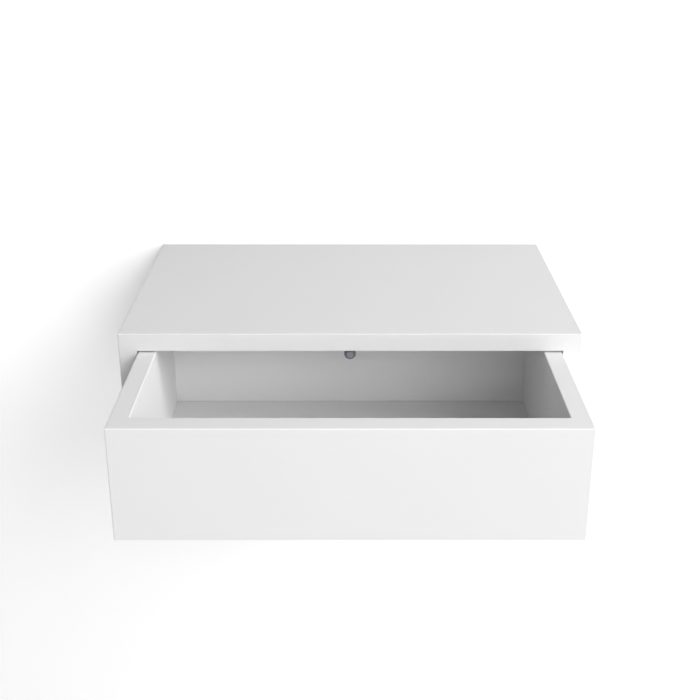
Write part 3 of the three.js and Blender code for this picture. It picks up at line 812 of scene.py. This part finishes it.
def carved(name, mesh, added=(), cut=(), bevel=0.0):
    """A new piece from a closed mesh, with others added to it and cut from it, and its edges
    eased by a small bevel."""
    piece = bpy.data.objects.new(name, mesh)
    scene.collection.objects.link(piece)
    tools = []
    for operation, shapes in (("UNION", added), ("DIFFERENCE", cut)):
        for shape in shapes:
            tool = bpy.data.objects.new("tool", shape)
            scene.collection.objects.link(tool)
            tools.append(tool)
            step = piece.modifiers.new("step", "BOOLEAN")
            step.operation, step.solver, step.object = operation, "EXACT", tool
    if bevel:
        ease = piece.modifiers.new("ease", "BEVEL")
        ease.width, ease.segments = bevel, BEVEL_STEPS
        ease.limit_method, ease.angle_limit = "ANGLE", SMOOTH_ANGLE
    settle(piece)
    for tool in tools:
        bpy.data.objects.remove(tool)
    soften(piece.data)
    piece.modifiers.new("even", "WEIGHTED_NORMAL").keep_sharp = True
    settle(piece)
    return piece


PIN_SIZES = {
    "Spacing": 80 * MM,
    "Head": 1.15 * MM,
    "Head Height": 0.35 * MM,
    "Shank": 0.6 * MM,
    "Length": 15 * MM,
    "Sunk": 0.12 * MM,
}
PIN_FACETS = 24
PIN_END_INSET = 11.75 * MM
PIN_EDGE_INSET = 4 * MM
DIMPLE_RADIUS = 1.6 * MM
DIMPLE_DEPTH = 0.3 * MM
BACK_BEVEL = 0.1 * MM
PIN_END = 0.1
PIN_TAPER = 4.0
DOME = ((1.0, 0.5), (0.75, 0.15), (0.3, 0.0))
back_low, back_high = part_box("back_panel")
pin_x = back_high.x - PIN_END_INSET
pin_z = back_high.z - PIN_EDGE_INSET
pin_count = round(2 * pin_x / PIN_SIZES["Spacing"]) + 1


def pin_tree(material):
    """Pins at even steps along each line, with domed heads just under the board's face."""
    tree, sizes = size_tree("panel_pins", PIN_SIZES)
    top = times(tree, sizes["Sunk"], -1.0)
    under = minus(tree, top, sizes["Head Height"])
    end = minus(tree, under, sizes["Length"])
    stations = [
        (times(tree, sizes["Shank"], PIN_END), end),
        (sizes["Shank"], plus(tree, end, times(tree, sizes["Shank"], PIN_TAPER))),
        (sizes["Shank"], minus(tree, under, STEP)),
        (sizes["Head"], under),
    ]
    for wide, deep in DOME:
        level = minus(tree, top, times(tree, sizes["Head Height"], deep))
        stations.append((times(tree, sizes["Head"], wide), level))
    pin = turned(tree, stations, ring(tree, PIN_FACETS))
    lines = out(tree, "GeometryNodeMeshToCurve", {"Mesh": sizes["Places"]})
    inputs = {"Curve": lines, "Length": sizes["Spacing"]}
    steps = out(tree, "GeometryNodeResampleCurve", inputs, mode="LENGTH")
    set_out(tree, steps, pin, material)
    return tree


dimple = [(DIMPLE_RADIUS - DIMPLE_DEPTH, -DIMPLE_DEPTH), (DIMPLE_RADIUS + CUT_PAST, CUT_PAST)]
dimples = []
for i in range(pin_count):
    x = -pin_x + i * PIN_SIZES["Spacing"]
    for z in (-pin_z, pin_z):
        dimples.append(lathe(dimple, (x, back_high.y, z), 1, PIN_FACETS))
back_outline = [
    (back_low.x, back_low.z),
    (back_high.x, back_low.z),
    (back_high.x, back_high.z),
    (back_low.x, back_high.z),
]
back_slab = slab(back_outline, 1, back_low.y, back_high.y)
back_board = carved("back_board", back_slab, cut=dimples, bevel=BACK_BEVEL)
coat(back_board, hardboard("back_hardboard", 1, back_low.y + 2 * RAW_SKIN, -FAR))
fit(back_board, "cabinet", ["back_panel"])

# Each line reaches just past its last pin, so that rounding can't drop it.
past_last = pin_x + 0.1 * MM
pin_ends = [(x, back_high.y, z) for z in (-pin_z, pin_z) for x in (-pin_x, past_last)]
pin_places = [(place, (0, 1, 0), (1, 0, 0)) for place in pin_ends]
panel_pins = grow("panel_pins", pin_tree(steel), PIN_SIZES, pin_places, [(0, 1), (2, 3)])
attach(panel_pins, "cabinet")


# Keyhole plates: pressed steel, 46 by 14 by 2 mm, let flush into the rear edges of the side
# panels. Two wall screws enter their round holes and slide up the slots. Two screws hold each.
SCREW_FACETS = 48
CROSS_SPAN = 0.56
CROSS_WIDTH = 0.15
CROSS_DEPTH = 0.19
SCREW_ROOT = 0.36
SCREW_POINT = 0.12
SCREW_SIZES = ("Shaft", "Head", "Length", "Tip", "Pitch", "Land")


def screw_of(*sizes, land=0.15):
    """A screw's named sizes, given in millimetres."""
    return {name: size * MM for name, size in zip(SCREW_SIZES, (*sizes, land))}


PLATE_SCREW = screw_of(3.5, 6.6, 16, 3, 1.5)


def screw_tree(material):
    """Countersunk screw: its flat head looks along Z at height zero, and has a cross in it."""
    tree, sizes = size_tree("cross_screw", SCREW_SIZES)
    head = times(tree, sizes["Head"], 0.5)
    root = times(tree, sizes["Shaft"], SCREW_ROOT)
    land = times(tree, sizes["Land"], -1.0)
    taper = minus(tree, root, head)
    end = times(tree, sizes["Length"], -1.0)
    point = times(tree, root, SCREW_POINT)
    tip = plus(tree, end, sizes["Tip"])
    body = turned(tree, [
        (point, end),
        (root, tip),
        (root, taper),
        (head, land),
        (plus(tree, head, times(tree, land, 0.5)), 0.0),
    ], ring(tree, SCREW_FACETS))
    span = times(tree, sizes["Head"], CROSS_SPAN)
    width = times(tree, sizes["Head"], CROSS_WIDTH)
    deep = times(tree, sizes["Head"], CROSS_DEPTH * 2)
    head_cut = cut_away(tree, body, cross_arms(tree, span, width, deep))
    length = minus(tree, minus(tree, taper, tip), sizes["Pitch"])
    height = minus(tree, times(tree, sizes["Shaft"], 0.5), root)
    ridge = thread(tree, root, height, sizes["Pitch"], tip, length)
    set_out(tree, sizes["Places"], together(tree, [head_cut, ridge]), material)
    return tree


PLATE_RADIUS = 7 * MM
PLATE_BEVEL = 0.25 * MM
KEYHOLE_RADIUS = 4.75 * MM
SLOT_RADIUS = 2.5 * MM
SLOT_RISE = 8 * MM
PLATE_SCREW_SPREAD = 36 * MM
SINK_MARGIN = 0.3 * MM
ARC_STEPS = 40


def arc(u, v, radius, start, end):
    """Points of an arc round a middle point, its angles in degrees."""
    points = []
    for i in range(ARC_STEPS + 1):
        angle = math.radians(start + (end - start) * i / ARC_STEPS)
        points.append((u + radius * math.cos(angle), v + radius * math.sin(angle)))
    return points


def countersink(screw, place, axis, outwards):
    """What a screw's hole takes away, outwards along plus or minus the axis."""
    root = screw["Shaft"] / 2 + SINK_MARGIN
    head = screw["Head"] / 2 + SINK_MARGIN
    stations = [(root, -2 * CUT_PAST), (root, root - head), (head, 0), (head, CUT_PAST)]
    return lathe([(radius, outwards * height) for radius, height in stations], place, axis)


screws = screw_tree(steel)
neck = math.degrees(math.asin(SLOT_RADIUS / KEYHOLE_RADIUS))
for side in ("left", "right"):
    node = f"{side}_keyhole_plate"
    low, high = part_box(node)
    x, _, z = middle(node)
    outline = arc(x, high.z - PLATE_RADIUS, PLATE_RADIUS, 0, 180)
    outline += arc(x, low.z + PLATE_RADIUS, PLATE_RADIUS, 180, 360)
    keyhole = arc(x, z, KEYHOLE_RADIUS, 90 + neck, 450 - neck)
    keyhole += arc(x, z + SLOT_RISE, SLOT_RADIUS, 0, 180)
    cuts = [slab(keyhole, 1, low.y - CUT_PAST, high.y + CUT_PAST)]
    for level in (-1, 1):
        place = (x, high.y, z + level * PLATE_SCREW_SPREAD / 2)
        cuts.append(countersink(PLATE_SCREW, place, 1, 1))
    plate_slab = slab(outline, 1, low.y, high.y)
    plate = carved(f"{side}_hanging_plate", plate_slab, cut=cuts, bevel=PLATE_BEVEL)
    coat(plate, steel)
    fit(plate, "cabinet", [node])
screw_names = sorted(name for name in nodes if "_plate_screw_" in name)
screw_places = []
for name in screw_names:
    x, _, z = middle(name)
    screw_places.append(((x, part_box(name)[1].y, z), (0, 1, 0), (1, 0, 0)))
plate_screws = grow("keyhole_plate_screws", screws, PLATE_SCREW, screw_places)
fit(plate_screws, "cabinet", screw_names)


# Glide strips: thin strips of smooth white nylon, stuck to the upper face of the bottom panel.
# The drawer's sides run on them.
NYLON = (0.8, 0.8, 0.78, 1)
NYLON_WORN = (0.74, 0.74, 0.72, 1)
MOTTLE_SCALE = 90.0
ROUGHNESS_SPREAD = 0.1


def moulded(name, first, second, roughness, grain):
    material, tree = new_material(name)
    place = object_place(tree)
    skin = noise(tree, place, grain, detail=1.0)
    colour = blend_colour(tree, noise(tree, place, MOTTLE_SCALE), first, second)
    roughness = between(tree, skin, 0, 1, roughness, roughness + ROUGHNESS_SPREAD)
    skin = bumps(tree, skin, strength=0.2, distance=0.05 * MM)
    close_surface(tree, colour, roughness, skin)
    return material


nylon = moulded("glide_nylon", NYLON, NYLON_WORN, roughness=0.3, grain=1500.0)
for name in ("left_glide_strip", "right_glide_strip"):
    coat(nodes[name], nylon)


# Push latch: a grey moulded case screwed up under the top panel by two ears. Its plunger meets
# the inner face of the closed drawer front; pressed in, it lets the drawer out on its spring.
CASE_GREY = (0.172, 0.19, 0.232, 1)
CASE_GREY_LIGHT = (0.215, 0.235, 0.283, 1)
PLUNGER_GREY = (0.29, 0.3, 0.32, 1)
PLUNGER_GREY_LIGHT = (0.34, 0.347, 0.363, 1)

LATCH_SCREW = screw_of(3, 5.6, 14, 3, 1.3)
screw_names = nodes_named("latch_screw_")
screw_places = []
for name in screw_names:
    x, y, _ = middle(name)
    screw_places.append(((x, y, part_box(name)[0].z), (0, 0, -1), (1, 0, 0)))
latch_screws = grow("latch_screws", screws, LATCH_SCREW, screw_places)
fit(latch_screws, "cabinet", screw_names)

CASE_RADIUS = 6 * MM
CASE_BEVEL = 0.35 * MM
CHANNEL_RADIUS = 3.9 * MM
CHANNEL_END = -227.1 * MM
EAR_LENGTH = 14 * MM
EAR_THICKNESS = 2 * MM
EAR_CORNER = 3 * MM
EAR_SCREW = 11 * MM
PLUNGER_SIZES = {
    "Radius": 3.6 * MM,
    "Length": 34 * MM,
    "Tip": 1.2 * MM,
    "Spigot": 1.7 * MM,
    "Spigot Length": 4 * MM,
    "Groove": 0.25 * MM,
}
GROOVE_SHARES = (0.12, 0.2)
PLUNGER_FACETS = 72
TIP_STEPS = 6
SPRING_SIZES = {
    "Radius": 2.6 * MM,
    "Wire": 0.4 * MM,
    "Length": 15.2 * MM,
    "Turns": 8.0,
}
WIRE_FACETS = 10
SPRING_STEPS = 40

case_low, case_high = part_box("latch_housing")
plunger_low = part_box("latch_plunger")[0]
spring_low, spring_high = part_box("latch_spring")
latch_line = plunger_low.z + PLUNGER_SIZES["Radius"]
ear_middle = (case_low.y + case_high.y) / 2
case_outline = arc(0, latch_line, CASE_RADIUS, 180, 360)
case_outline += [(CASE_RADIUS, case_high.z), (-CASE_RADIUS, case_high.z)]
ear_u = case_high.x - EAR_CORNER
ear_v = EAR_LENGTH / 2 - EAR_CORNER
ear_corners = ((ear_u, ear_v), (-ear_u, ear_v), (-ear_u, -ear_v), (ear_u, -ear_v))
ear_outline = []
for corner, (u, v) in enumerate(ear_corners):
    ear_outline += arc(u, ear_middle + v, EAR_CORNER, 90 * corner, 90 * corner + 90)
ears = slab(ear_outline, 2, case_high.z - EAR_THICKNESS, case_high.z)
channel = [(CHANNEL_RADIUS, case_low.y - CUT_PAST), (CHANNEL_RADIUS, CHANNEL_END)]
case_cuts = [lathe(channel, (0, 0, latch_line), 1, PLUNGER_FACETS)]
for side in (-1, 1):
    place = (side * EAR_SCREW, ear_middle, case_high.z - EAR_THICKNESS)
    case_cuts.append(countersink(LATCH_SCREW, place, 2, -1))
case_slab = slab(case_outline, 1, case_low.y, case_high.y)
latch_case = carved("latch_case", case_slab, [ears], case_cuts, CASE_BEVEL)
case_grey = moulded("latch_case", CASE_GREY, CASE_GREY_LIGHT, roughness=0.45, grain=2600.0)
coat(latch_case, case_grey)
fit(latch_case, "cabinet", ["latch_housing"])


def plunger_tree(material):
    """The tip is at height zero and looks down; two fine grooves run round the stem."""
    tree, sizes = size_tree("latch_plunger", PLUNGER_SIZES)
    stations = []
    for i in range(TIP_STEPS + 1):
        angle = math.pi / 2 * i / TIP_STEPS
        inset = times(tree, sizes["Tip"], 1 - math.sin(angle))
        rise = times(tree, sizes["Tip"], 1 - math.cos(angle))
        stations.append((minus(tree, sizes["Radius"], inset), rise))
    grooved = minus(tree, sizes["Radius"], sizes["Groove"])
    radii = (sizes["Radius"], grooved, grooved, sizes["Radius"])
    for share in GROOVE_SHARES:
        middle_height = times(tree, sizes["Length"], share)
        for radius, shift in zip(radii, (-2.0, -1.0, 1.0, 2.0)):
            away = times(tree, sizes["Groove"], shift)
            stations.append((radius, plus(tree, middle_height, away)))
    end = plus(tree, sizes["Length"], sizes["Spigot Length"])
    stations += [
        (sizes["Radius"], minus(tree, sizes["Length"], sizes["Groove"])),
        (grooved, minus(tree, sizes["Length"], STEP)),
        (sizes["Spigot"], sizes["Length"]),
        (sizes["Spigot"], minus(tree, end, sizes["Groove"])),
        (minus(tree, sizes["Spigot"], sizes["Groove"]), end),
    ]
    set_out(tree, sizes["Places"], turned(tree, stations, ring(tree, PLUNGER_FACETS)), material)
    return tree


plunger_colours = (PLUNGER_GREY, PLUNGER_GREY_LIGHT)
plunger_grey = moulded("latch_plunger", *plunger_colours, roughness=0.4, grain=2600.0)
plunger_place = [((0, plunger_low.y, latch_line), (0, 1, 0), (1, 0, 0))]
plunger = grow("push_plunger", plunger_tree(plunger_grey), PLUNGER_SIZES, plunger_place)
fit(plunger, "plunger", ["latch_plunger"])


def spring_tree(material):
    """One wire wound in even turns about Z, from height zero."""
    tree, sizes = size_tree("latch_spring", SPRING_SIZES)
    coil = helix(tree, sizes["Radius"], sizes["Turns"], sizes["Length"], SPRING_STEPS)
    wound = swept(tree, coil, ring(tree, WIRE_FACETS, sizes["Wire"]))
    set_out(tree, sizes["Places"], wound, material)
    return tree


spring_place = [((0, spring_low.y + SPRING_SIZES["Wire"], latch_line), (0, 1, 0), (1, 0, 0))]
push_spring = grow("push_spring", spring_tree(steel), SPRING_SIZES, spring_place)
fit(push_spring, "cabinet", ["latch_spring"])
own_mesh(push_spring)


# Drawer boards: a 22 mm front, 18 mm sides and a 16 mm back, of the same white board as the
# cabinet, banded on every edge that shows. The groove is cut 4 mm above their lower edges.
for name, outer in (
    ("drawer_front", ("-x", "+x", "-y", "-z", "+z")),
    ("drawer_left_side", ("-x", "+x", "+z")),
    ("drawer_right_side", ("-x", "+x", "+z")),
    ("drawer_back", ("-y", "+y", "+z")),
):
    coat(nodes[name], faced_board(name, outer))


# Drawer floor: 3 mm hardboard, white lacquer above and bare brown fibre below. It lies in
# grooves all round, and was slid in before the last board was put on.
floor_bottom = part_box("drawer_floor")[0].z
coat(nodes["drawer_floor"], hardboard("floor_hardboard", 2, FAR, floor_bottom + RAW_SKIN))


# Drawer screws: zinc plated steel, 4 by 40 mm, countersunk, with a cross. Two go through each
# side into an end of the drawer's back.
BACK_SCREW = screw_of(4, 7.6, 40, 4, 1.8)
screw_names = nodes_named("drawer_back_screw_")
screw_places = []
for name in screw_names:
    x, y, z = middle(name)
    side = math.copysign(1, x)
    face = max(abs(corner.x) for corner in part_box(name))
    screw_places.append(((side * face, y, z), (side, 0, 0), (0, 0, 1)))
back_screws = grow("drawer_back_screws", screws, BACK_SCREW, screw_places)
fit(back_screws, "drawer", screw_names)


# Stage: a pale wall that runs down into a pale floor and fades into the white room, with a hole
# behind the cabinet, and no back face, so that the rear can be seen and lit from behind.
STAGE_GREY = (0.42, 0.42, 0.42, 1)
STAGE_WHITE = (1, 1, 1, 1)
WALL_HALF_WIDTH = 3.0
WALL_TOP = 2.4
FLOOR_LEVEL = -0.95
FLOOR_REACH = -3.6
SWEEP_RADIUS = 0.3
SWEEP_STEPS = 12
GLOW = 0.27
FADE_START = 0.6
FADE_END = 1.5

cabinet_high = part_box("top_panel")[1]
hole_x, hole_top = cabinet_high.x, cabinet_high.z
hole_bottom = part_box("bottom_panel")[0].z


def stage_mesh():
    columns = (-WALL_HALF_WIDTH, -hole_x, hole_x, WALL_HALF_WIDTH)
    wall_levels = (WALL_TOP, hole_top, hole_bottom, FLOOR_LEVEL + SWEEP_RADIUS)
    profile = [(0.0, level) for level in wall_levels]
    for i in range(1, SWEEP_STEPS + 1):
        angle = math.pi / 2 * i / SWEEP_STEPS
        y = SWEEP_RADIUS * (math.cos(angle) - 1)
        z = FLOOR_LEVEL + SWEEP_RADIUS * (1 - math.sin(angle))
        profile.append((y, z))
    profile.append((FLOOR_REACH, FLOOR_LEVEL))
    points = [(x, y, z) for y, z in profile for x in columns]
    faces = []
    for row in range(len(profile) - 1):
        for column in range(len(columns) - 1):
            if (row, column) != (1, 1):
                corner = row * len(columns) + column
                below = corner + len(columns)
                faces.append((corner, below, below + 1, corner + 1))
    mesh = bpy.data.meshes.new("stage")
    mesh.from_pydata(points, [], faces)
    return mesh


def seen_rays(tree):
    """One for the rays that show a surface itself, and nothing for those that light others."""
    rays = wire(tree, "ShaderNodeLightPath", {}).outputs
    seen = maths(tree, "MAXIMUM", rays["Is Camera Ray"], rays["Is Glossy Ray"])
    return maths(tree, "MAXIMUM", seen, rays["Is Transmission Ray"])


def stage_material():
    material, tree = new_material("stage_white")
    seen = seen_rays(tree)
    colour = blend_colour(tree, seen, STAGE_GREY, STAGE_WHITE)
    matt = out(tree, "ShaderNodeBsdfDiffuse", {"Color": colour})
    strength = times(tree, seen, GLOW)
    inputs = {"Color": STAGE_WHITE, "Strength": strength}
    glow = out(tree, "ShaderNodeEmission", inputs)
    near = out(tree, "ShaderNodeAddShader", {0: matt, 1: glow})
    inputs = {0: object_place(tree), 1: (1, 1, 0)}
    level = out(tree, "ShaderNodeVectorMath", inputs, operation="MULTIPLY")
    away = wire(tree, "ShaderNodeVectorMath", {0: level}, operation="LENGTH").outputs["Value"]
    faded = times(tree, seen, between(tree, away, FADE_START, FADE_END))
    inputs = {"Color": STAGE_WHITE, "Strength": 1.0}
    plain = out(tree, "ShaderNodeEmission", inputs)
    front = out(tree, "ShaderNodeMixShader", {0: faded, 1: near, 2: plain})
    clear = out(tree, "ShaderNodeBsdfTransparent", {})
    behind = wire(tree, "ShaderNodeNewGeometry", {}).outputs["Backfacing"]
    surface = out(tree, "ShaderNodeMixShader", {0: behind, 1: front, 2: clear})
    wire(tree, "ShaderNodeOutputMaterial", {"Surface": surface})
    return material


stage = bpy.data.objects.new("stage", stage_mesh())
stage.data.materials.append(stage_material())
scene.collection.objects.link(stage)


# Light: soft boxes in front, most of them on the right, an even pale room, and one more box
# behind the wall, which reaches only the rear of the nightstand.
LIGHT_AIM = Vector((0, -0.25, 0))
BOX_SIZE = 1.8
SOFT_BOXES = {
    "right_light": ((3.4, -2.0, 1.6), 41),
    "low_right_light": ((3.4, -2.2, 0.6), 7),
    "high_right_light": ((2.4, -1.6, 3.0), 77),
    "front_right_light": ((2.2, -3.4, 1.6), 31),
    "front_light": ((0.6, -4.2, 1.6), 28),
    "low_front_light": ((0.5, -4.0, -0.5), 39),
    "rear_light": ((-1.6, 3.2, 1.4), 90),
}
ROOM_LIGHT = 0.2

for name, (place, power) in SOFT_BOXES.items():
    box = bpy.data.objects.new(name, bpy.data.lights.new(name, "AREA"))
    box.data.shape = "SQUARE"
    box.data.size = BOX_SIZE
    box.data.energy = power
    box.location = place
    box.rotation_euler = (LIGHT_AIM - box.location).to_track_quat("-Z", "Y").to_euler()
    scene.collection.objects.link(box)


def room():
    world = bpy.data.worlds.new("room")
    world.use_nodes = True
    tree = world.node_tree
    tree.nodes.clear()
    strength = between(tree, seen_rays(tree), 0, 1, ROOM_LIGHT, 1.0)
    light = wire(tree, "ShaderNodeBackground", {"Color": STAGE_WHITE, "Strength": strength})
    wire(tree, "ShaderNodeOutputWorld", {"Surface": light.outputs[0]})
    return world


scene.world = room()
scene.view_settings.view_transform = "Standard"
